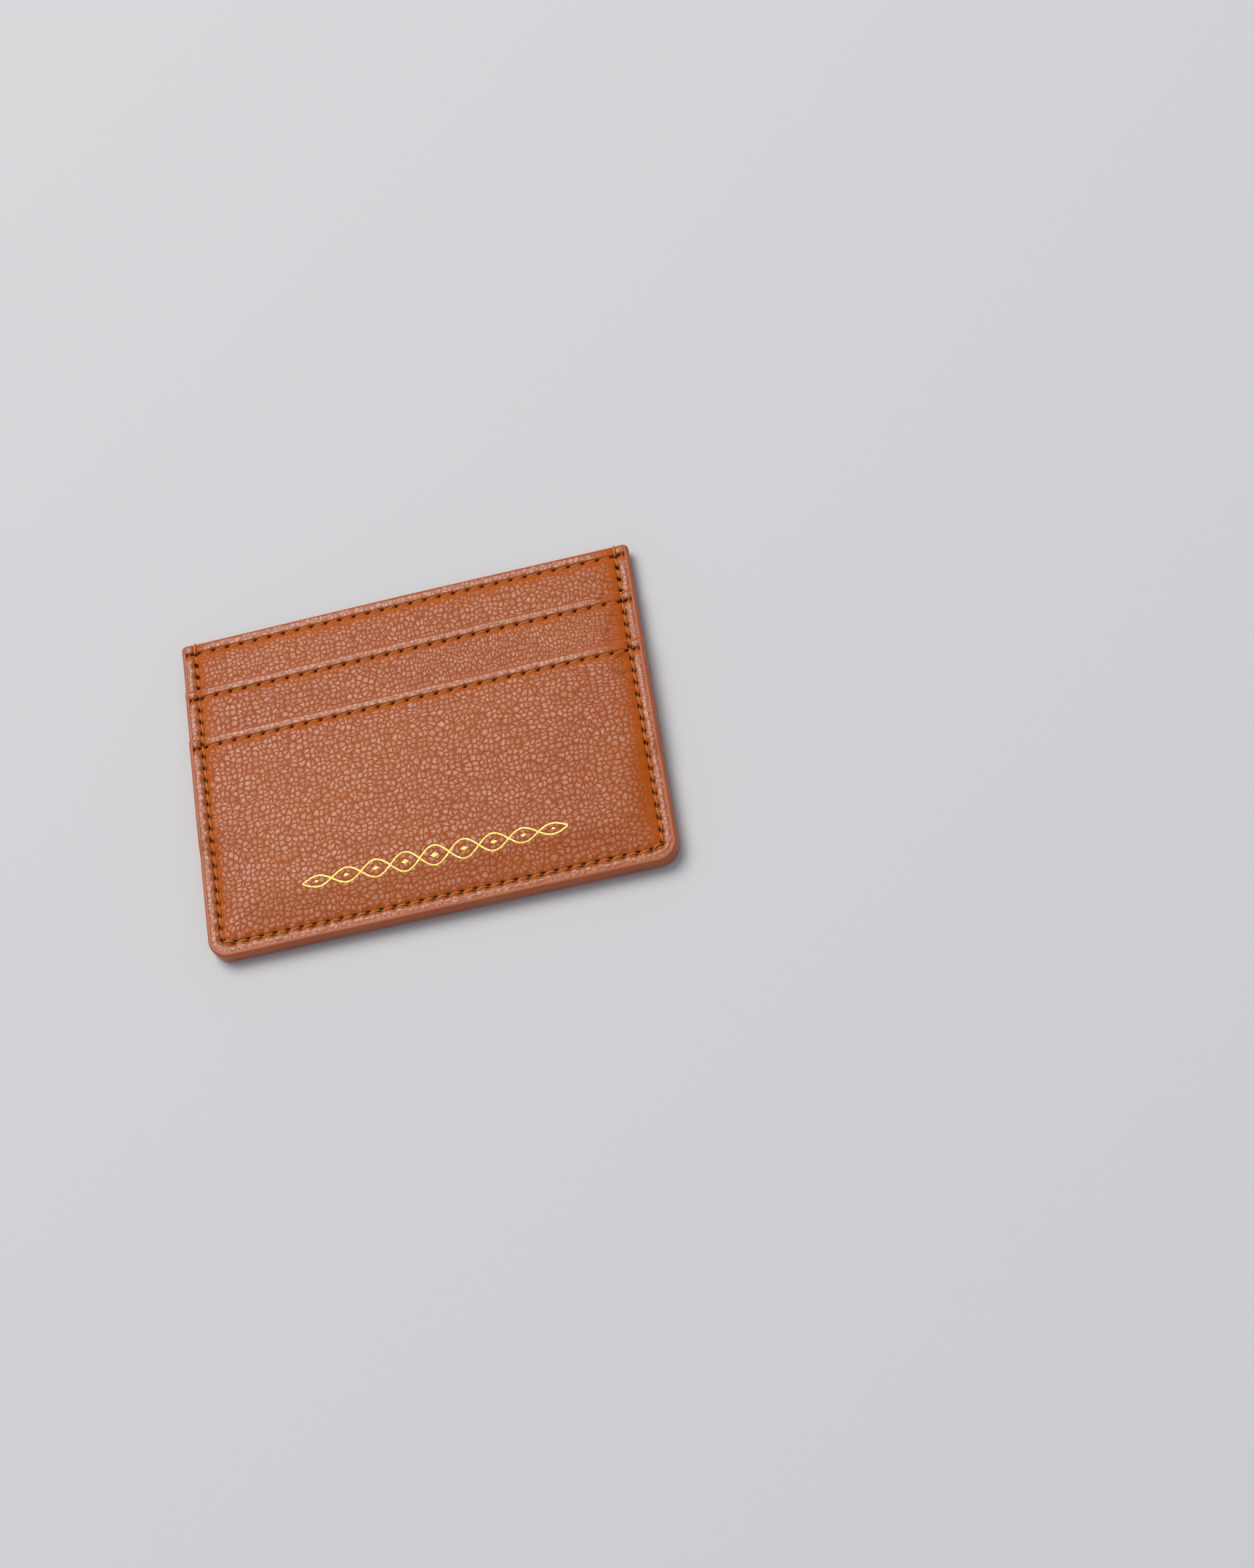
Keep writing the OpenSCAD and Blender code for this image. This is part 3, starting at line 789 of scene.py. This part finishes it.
def panelHeights(kind):
    p, paintIn, row = panels[kind], holder["paint"], panels[kind]["row"]
    band = [(row - 0.7, row + 0.7, mesh["seam"]), (row + 0.7, p["end"], 0.2)]
    if kind == "lower":
        low = holder["seamInset"]
        corner = paintIn + (holder["bottomRadius"] - paintIn) * (1 - math.cos(math.radians(22)))
        return spread((paintIn, paintIn + 0.05, 0.05), (paintIn + 0.05, corner, 0.13),
                      (corner, low - 0.7, 0.25), (low - 0.7, low + 0.7, mesh["seam"]),
                      (low + 0.7, row - 0.7, mesh["step"]), *band)
    covered = {"upper": lowerSlot, "base": upperSlot}[kind] - 1.2
    start = [(p["start"], p["start"] + 0.5, 0.1), (p["start"] + 0.5, covered, mesh["hidden"])]
    if kind == "upper":
        start = [(p["start"], covered, mesh["hidden"])]
    return spread(*start, (covered, row - 0.7, mesh["fine"]), *band)


for half, side in ((1, "front"), (-1, "rear")):
    for kind, node in (("base", "base_panel"), ("upper", "upper_pocket"), ("lower", "lower_pocket")):

        def outer(x, h):
            level = faceLevel(kind, x, h, half)
            relief, masks = leatherRelief(kind, x, h, half)
            if kind == "base":   # needle holes stop at the board
                relief = np.maximum(relief, 0.48 + gapeAt(x, h) - level)
            if half < 0:         # nothing goes below the floor
                relief = np.minimum(relief, midLevel - 0.01 - level)
            return level, relief, masks

        step = mesh["step"] if kind == "lower" else mesh["fine"]
        panel = closedLayer(f"{side}_{node}_leather", shares(step), panelHeights(kind), holder["paint"],
                            outer, 0.5, half)
        finishPiece(panel, leather, f"{side}_{node}")
    print(side, "leather panels made")


# Linings and boards: thin layers that follow the pocket walls

inner = {
    "lining": {"start": 0.25, "end": 74.75, "thick": 0.12, "under": "stiffener",
               "level": lambda x, h, half: 0.17 + gapeAt(x, h)},
    "stiffener": {"start": 0.25, "end": 74.75, "thick": 0.25,
                  "level": lambda x, h, half: 0.42 + gapeAt(x, h)},
    "upper_pocket_backing": {"start": 11.0, "end": upperSlot - 0.25, "thick": 0.09, "under": "base_panel",
                             "level": lambda x, h, half: faceLevel("upper", x, h, half) - 0.5},
    "lower_pocket_lining": {"start": 0.25, "end": lowerSlot - 0.25, "thick": 0.09, "under": "upper_pocket",
                            "level": lambda x, h, half: faceLevel("lower", x, h, half) - 0.5},
}

for half, side in ((1, "front"), (-1, "rear")):
    for key, part in inner.items():

        def outer(x, h):
            return part["level"](x, h, half), 0.0, {}

        ends = spread((-1, -0.9, 0.012), (-0.9, 0.9, 0.03), (0.9, 1, 0.012))
        heights = spread((part["start"], part["start"] + 6, 0.5), (part["start"] + 6, part["end"] - 4, 1.5),
                         (part["end"] - 4, part["end"], 0.5))
        name = f"{side}_{key}_board" if key == "stiffener" else f"{side}_{key}_cloth"
        layer = closedLayer(name, ends, heights, holder["paint"], outer, part["thick"], half)
        if key == "stiffener":
            finishPiece(layer, board, f"{side}_{key}")
        else:
            finishPiece(layer, cloth, f"{side}_{key}")
print("linings and boards made")


# Thread: each stitch rises out of one needle hole, leans a little across the seam and dives into the next

stitch = {"width": 0.38, "rowWidth": 0.31, "wrapWidth": 0.46, "tailSink": 0.32, "seamPower": 1.7,
          "rowPower": 2.6, "lean": 0.22, "wobble": 0.025, "lift": 0.05, "dive": 0.8, "rings": 9, "sides": 6}


# rings round a line of points, one line for each stitch; flattened a little where the thread is pulled down
def threadRings(line, width):
    along = np.gradient(line, axis=1)
    along /= np.linalg.norm(along, axis=2, keepdims=True)
    across = np.cross([0.0, 0.0, 1.0], along)
    across /= np.maximum(np.linalg.norm(across, axis=2, keepdims=True), 1e-6)
    up = np.cross(along, across)
    angle = np.arange(stitch["sides"]) / stitch["sides"] * 2 * math.pi
    ring = np.cos(angle)[:, None] * across[:, :, None] + 0.86 * np.sin(angle)[:, None] * up[:, :, None]
    return line[:, :, None] + width / 2 * ring


# the map of a thread: its length in stitch widths, and once round
def threadMap(count, rings):
    u, v = np.meshgrid(np.linspace(0, 6, rings), np.arange(stitch["sides"]) / stitch["sides"], indexing="ij")
    return [np.stack([u + 3.1 * n, v], -1) for n in range(count)]


# the power sets how long a stitch stays up before it dives
def stitchLines(places, half, sink=0.0, power=stitch["rowPower"]):
    t = np.linspace(0, 1, stitch["rings"])
    a, b = places[:-1, None], places[1:, None]
    away = (b - a) / np.linalg.norm(b - a, axis=2, keepdims=True)
    across = np.stack([-away[..., 1], away[..., 0]], -1)
    wobble = np.random.default_rng(11).normal(0, stitch["wobble"], (len(places) - 1, 1, 1))
    flat = a + (b - a) * t[:, None] + across * (stitch["lean"] * (2 * t[:, None] - 1) + wobble)
    level = outerLevel(flat[..., 0], flat[..., 1], half)
    lift = stitch["lift"] - stitch["dive"] * np.abs(2 * t - 1) ** power
    level = np.maximum(level + lift - sink, 0.12)
    if half < 0:
        level = np.minimum(level, midLevel - stitch["width"] * 0.45)
    return np.concatenate([flat, level[..., None]], -1)


# the last stitch of each side climbs over the top edge and meets the other half's between the linings
def wrapLine(sign, half):
    top = holder["height"]
    h = np.array([topRow, topRow + 0.15, topRow + 0.5, topRow + 1.2, top - 0.4, top, top + 0.2, top + 0.24,
                  top + 0.24])
    level = outerLevel(np.full_like(h, sign * seamX), np.minimum(h, top - 0.4), half)
    down = np.array([-0.65, -0.12, 0.12, 0.12, 0.14, 0.08, -0.14, -0.5, 0])
    level = level + down
    level[-1] = 0.0
    x = sign * seamX + 0.1 * np.linspace(-1, 1, len(h))
    return np.stack([x, h, level], -1)[None]


for half, side in ((1, "front"), (-1, "rear")):
    lines = stitchLines(seamHoles()[0], half, power=stitch["seamPower"])
    wraps = [wrapLine(sign, half) for sign in (-1, 1)]
    runs = list(threadRings(lines, stitch["width"])) + [threadRings(w, stitch["wrapWidth"])[0] for w in wraps]
    maps = threadMap(len(runs), stitch["rings"])
    seam = ringSkin(f"{side}_outer_seam", runs, half, maps)
    finishPiece(seam, thread, f"{side}_perimeter_thread")
    for row, node in ((topRow, "top_edge"), (upperRow, "upper_slot"), (lowerRow, "lower_slot")):
        places = rowHoles(row)[0]
        sink = stitch["tailSink"]
        parts = [(places[:2], sink), (places[2:-2], 0.0), (places[-2:], sink)]
        lines = [stitchLines(part, half, sunk) for part, sunk in parts]
        runs = [ring for line in lines for ring in threadRings(line, stitch["rowWidth"])]
        sewn = ringSkin(f"{side}_{node}_row", runs, half, threadMap(len(runs), stitch["rings"]))
        finishPiece(sewn, thread, f"{side}_{node}_thread")
for side in ("front", "rear"):
    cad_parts[f"{side}_pocket_bottom_thread"].material_slots[0].material = thread
print("seams sewn")


# Edge paint: one bead round the left, bottom and right edges, and a bead on each edge that runs across

edgeBead = {"lip": 0.95, "proud": 0.075}


# outline from the left end of the top edge round to the right end, with the directions that point out of it
def outlinePath():
    wide, tall = holder["halfWidth"], holder["height"]
    low, top = holder["bottomRadius"], holder["topRadius"]
    a = np.radians(np.linspace(78, 0, 8))[:-1]
    topArc = np.stack([top - wide - top * np.cos(a), tall - top + top * np.sin(a), -np.cos(a), np.sin(a)], -1)
    h = spread((low, 22, 1.2), (22, 29, 0.5), (29, lowerSlot - 1, 1.2), (lowerSlot - 1, lowerSlot + 1, 0.12),
               (lowerSlot + 1, upperSlot - 1, 0.8), (upperSlot - 1, upperSlot + 1, 0.12),
               (upperSlot + 1, tall - top, 0.8))[::-1][:-1]
    side = np.stack([np.full_like(h, -wide), h, -np.ones_like(h), np.zeros_like(h)], -1)
    b = np.radians(np.linspace(0, 90, 19))[:-1]
    lowArc = np.stack([-(wide - low) - low * np.cos(b), low - low * np.sin(b), -np.cos(b), -np.sin(b)], -1)
    x = np.linspace(-(wide - low), 0, 46)[:-1]
    bottom = np.stack([x, np.zeros_like(x), np.zeros_like(x), -np.ones_like(x)], -1)
    left = np.concatenate([topArc, side, lowArc, bottom])
    middle = np.array([[0.0, 0.0, 0.0, -1.0]])
    return np.concatenate([left, middle, left[::-1] * [-1, 1, -1, 1]])


# The section is a dome between two lips: distances in from the outline, and levels from each face.
# The lips sit on the leather, with a shallow groove where the first coat ends.
def perimeterBead():
    path = outlinePath()
    place, out = path[:, :2], path[:, 2:]
    touch = place - out * (edgeBead["lip"] - 0.1)
    s = np.arange(len(path)) * 1.0
    wave = 0.018 * softNoise(s * 0.9, s * 0.13, 4, 77)
    frontLevel, rearLevel = (outerLevel(touch[:, 0], touch[:, 1], half) for half in (1, -1))
    rearLevel = np.minimum(rearLevel, midLevel - edgeBead["proud"] - 0.02)
    proud = edgeBead["proud"]
    section = [(0.95, -0.04), (0.89, proud * 0.5), (0.77, proud), (0.62, proud * 0.95), (0.48, proud * 0.6),
               (0.38, proud * 0.3), (0.28, -0.01), (0.18, -0.07), (0.1, -0.17), (0.04, -0.32), (0.01, -0.52)]
    inward = np.array([p[0] for p in section])
    drop = np.array([p[1] for p in section])
    front = frontLevel[:, None] + drop
    rear = -(rearLevel[:, None] + drop[::-1])
    levels = np.concatenate([front, np.zeros((len(path), 1)), rear,
                             -(rearLevel - 0.3)[:, None], (frontLevel - 0.3)[:, None]], 1)
    inwards = np.concatenate([inward, [0.0], inward[::-1], [0.7, 0.7]])
    shift = np.where(inwards < 0.3, 1.0, 0.0) * wave[:, None]
    xh = place[:, None] - out[:, None] * (inwards - shift)[..., None]
    rings = np.concatenate([xh, levels[..., None]], -1)
    return ringSkin("perimeter_painted_edge", [rings[:, ::-1]], 1)


finishPiece(perimeterBead(), paint, "perimeter_edge_paint")


# a bead along x at one height: a closed section given as distances in from the edge and levels
def crossBead(name, x, edge, section, half):
    rings = np.stack([np.stack([x, edge - inward, level], -1) for inward, level in section], 1)
    return ringSkin(name, [rings], half)


# the mouth of the centre pocket: paint over lining, board and leather
def topBead(side, half):
    end = holder["halfWidth"] - 0.8
    x = spread((-end, -end + 4, 0.25), (-end + 4, end - 4, 0.9), (end - 4, end, 0.25))
    edge = np.full_like(x, holder["height"]) - 0.03 + 0.012 * softNoise(x, x * 0, 5, 51)
    edge = edge - 0.02 * rise(holder["halfWidth"] - 1, holder["halfWidth"], np.abs(x))
    face = faceLevel("base", x, np.full_like(x, holder["height"] - 0.5), half)
    low = 0.05 + gapeAt(x, np.full_like(x, holder["height"]))
    middle = (face + low) / 2
    section = [(0.0, middle), (0.02, face - 0.2), (0.09, face - 0.06), (0.22, face + 0.04),
               (0.38, face + 0.05), (0.5, face - 0.02), (0.45, face - 0.25), (0.45, low + 0.25),
               (0.5, low + 0.02), (0.3, low - 0.01), (0.1, low + 0.05), (0.02, low + 0.18)]
    return crossBead(f"{side}_top_painted_edge", x, edge, section, half)


# a pocket's own edge: a small round bead over leather and lining
def slotBead(side, name, kind, half):
    edge = {"upper": upperSlot, "lower": lowerSlot}[kind]
    end = holder["halfWidth"] - 0.55
    x = spread((-end, -end + 6, 0.2), (-end + 6, end - 6, 0.8), (end - 6, end, 0.2))
    face = faceLevel(kind, x, np.full_like(x, edge - 0.5), half)
    if half < 0:   # the bead's top stays above the floor
        face = np.minimum(face, midLevel - 0.08)
    low = face - 0.6
    line = np.full_like(x, edge) + 0.02 * softNoise(x, x * 0, 6, 61 + panels[kind]["seed"])
    section = [(0.0, face - 0.3), (0.02, face - 0.13), (0.09, face - 0.01), (0.2, face + 0.065),
               (0.38, face + 0.07), (0.5, face + 0.015), (0.55, face - 0.06), (0.45, face - 0.25),
               (0.4, low + 0.1), (0.25, low), (0.1, low + 0.03), (0.02, low + 0.14)]
    return crossBead(f"{side}_{name}_painted_edge", x, line, section, half)


for half, side in ((1, "front"), (-1, "rear")):
    finishPiece(topBead(side, half), slotPaint, f"{side}_top_edge_paint")
    for name, kind in (("upper_slot", "upper"), ("lower_slot", "lower")):
        finishPiece(slotBead(side, name, kind, half), slotPaint, f"{side}_{name}_edge_paint")
print("edges painted")


# Gold foil: two thin ribbons along the braid's waves and a lozenge in each eye, in the pressed leather

ribbon = [(0.5, -0.01), (0.3, 0.008), (0, 0.012), (-0.3, 0.008), (-0.5, -0.01), (-0.45, -0.06), (0.45, -0.06)]
lozenge = [(1, -0.06), (1, -0.005), (0.85, 0.012), (0.45, 0.014), (0.12, 0.014)]


def foilLevel(x, h):
    return faceLevel("lower", x, h, 1) + leatherRelief("lower", x, h, 1)[0] + braid["proud"]


def foilBraid():
    t = np.linspace(0, 1, braid["eyes"] * 32 + 1)
    runs = []
    for sign in (1, -1):
        slope = sign * braidSlope(t)
        lean = np.sqrt(1 + slope**2)
        across = np.stack([-slope / lean, 1 / lean], -1)
        centre = np.stack([(t - 0.5) * braid["length"], braid["up"] + sign * braidWave(t)], -1)
        rings = []
        for share, lift in ribbon:
            place = centre + across * share * braid["line"]
            level = foilLevel(place[:, 0], place[:, 1]) + lift + (0.01 if sign > 0 else 0)
            rings.append(np.concatenate([place, level[:, None]], -1))
        runs.append(np.stack(rings, 1))
    angle = np.arange(16) / 16 * 2 * math.pi
    shape = np.stack([np.cos(angle), np.sin(angle)], -1)
    shape = shape / np.abs(shape).sum(1)[:, None]
    for number in range(braid["eyes"]):
        middle = (number + 0.5) / braid["eyes"]
        size = np.array(braid["lozenge"]) / 2 * braidTaper(middle)
        centre = np.array([(middle - 0.5) * braid["length"], braid["up"]])
        rings = []
        for share, lift in lozenge:
            place = centre + shape * size * share
            level = foilLevel(place[:, 0], place[:, 1]) + lift
            rings.append(np.concatenate([place, level[:, None]], -1))
        runs.append(np.stack(rings))
    return ringSkin("front_foil_braid", runs, 1)


finishPiece(foilBraid(), foil, "front_foil_ornament")
print("foil laid")


# Floor, light and camera

stage = {"floor": colour(221, 225, 233), "half": 3, "sky": colour(252, 252, 255), "world": 0.33,
         "key": 59.0, "keySize": 1.9, "keyPlace": (-0.9, 1.3, 2.25), "tint": (1.0, 0.95, 0.86),
         "fill": 0.3, "fillSize": 1.2, "fillPlace": (0.9, -0.9, 0.9)}

floorMesh = bpy.data.meshes.new("floor")
reach = stage["half"]
floorMesh.from_pydata([(-reach, -reach, 0), (reach, -reach, 0), (reach, reach, 0), (-reach, reach, 0)], [],
                      [(0, 1, 2, 3)])
floor = intoScene(bpy.data.objects.new("floor", floorMesh))
floorLook, tree, shader, place = newMaterial("paleFloor")
setValues(shader, Base_Color=stage["floor"], Roughness=0.9, Specular_IOR_Level=0.2)
floorMesh.materials.append(floorLook)


# a square lamp that points at the holder
def addArea(name, place, size, power, tint=(1, 1, 1)):
    lamp = bpy.data.lights.new(name, "AREA")
    lamp.shape, lamp.size, lamp.energy, lamp.color = "SQUARE", size, power, tint
    light = intoScene(bpy.data.objects.new(name, lamp))
    light.location = place
    light.rotation_euler = (-Vector(place)).to_track_quat("-Z", "Y").to_euler()


addArea("key", stage["keyPlace"], stage["keySize"], stage["key"], stage["tint"])
addArea("fill", stage["fillPlace"], stage["fillSize"], stage["fill"])

world = bpy.data.worlds.new("studio")
world.use_nodes = True
world.node_tree.nodes["Background"].inputs["Color"].default_value = stage["sky"]
world.node_tree.nodes["Background"].inputs["Strength"].default_value = stage["world"]
bpy.context.scene.world = world
bpy.context.scene.view_settings.view_transform = "Standard"

view = {"place": (0.11405, -0.29287, 0.55528), "forward": (-0.1167, 0.4419, -0.8894),
        "up": (0.2177, 0.8851, 0.4112), "lens": 69.3, "sensor": 36.0}
lens = bpy.data.cameras.new("camera")
lens.lens, lens.sensor_width = view["lens"], view["sensor"]
lens.clip_start, lens.clip_end = 0.01, 20.0
camera = intoScene(bpy.data.objects.new("camera", lens))
forward = Vector(view["forward"]).normalized()
right = forward.cross(Vector(view["up"])).normalized()
upward = right.cross(forward)
camera.matrix_world = Matrix((
    (right.x, upward.x, -forward.x, view["place"][0]),
    (right.y, upward.y, -forward.y, view["place"][1]),
    (right.z, upward.z, -forward.z, view["place"][2]),
    (0, 0, 0, 1)))
bpy.context.scene.camera = camera
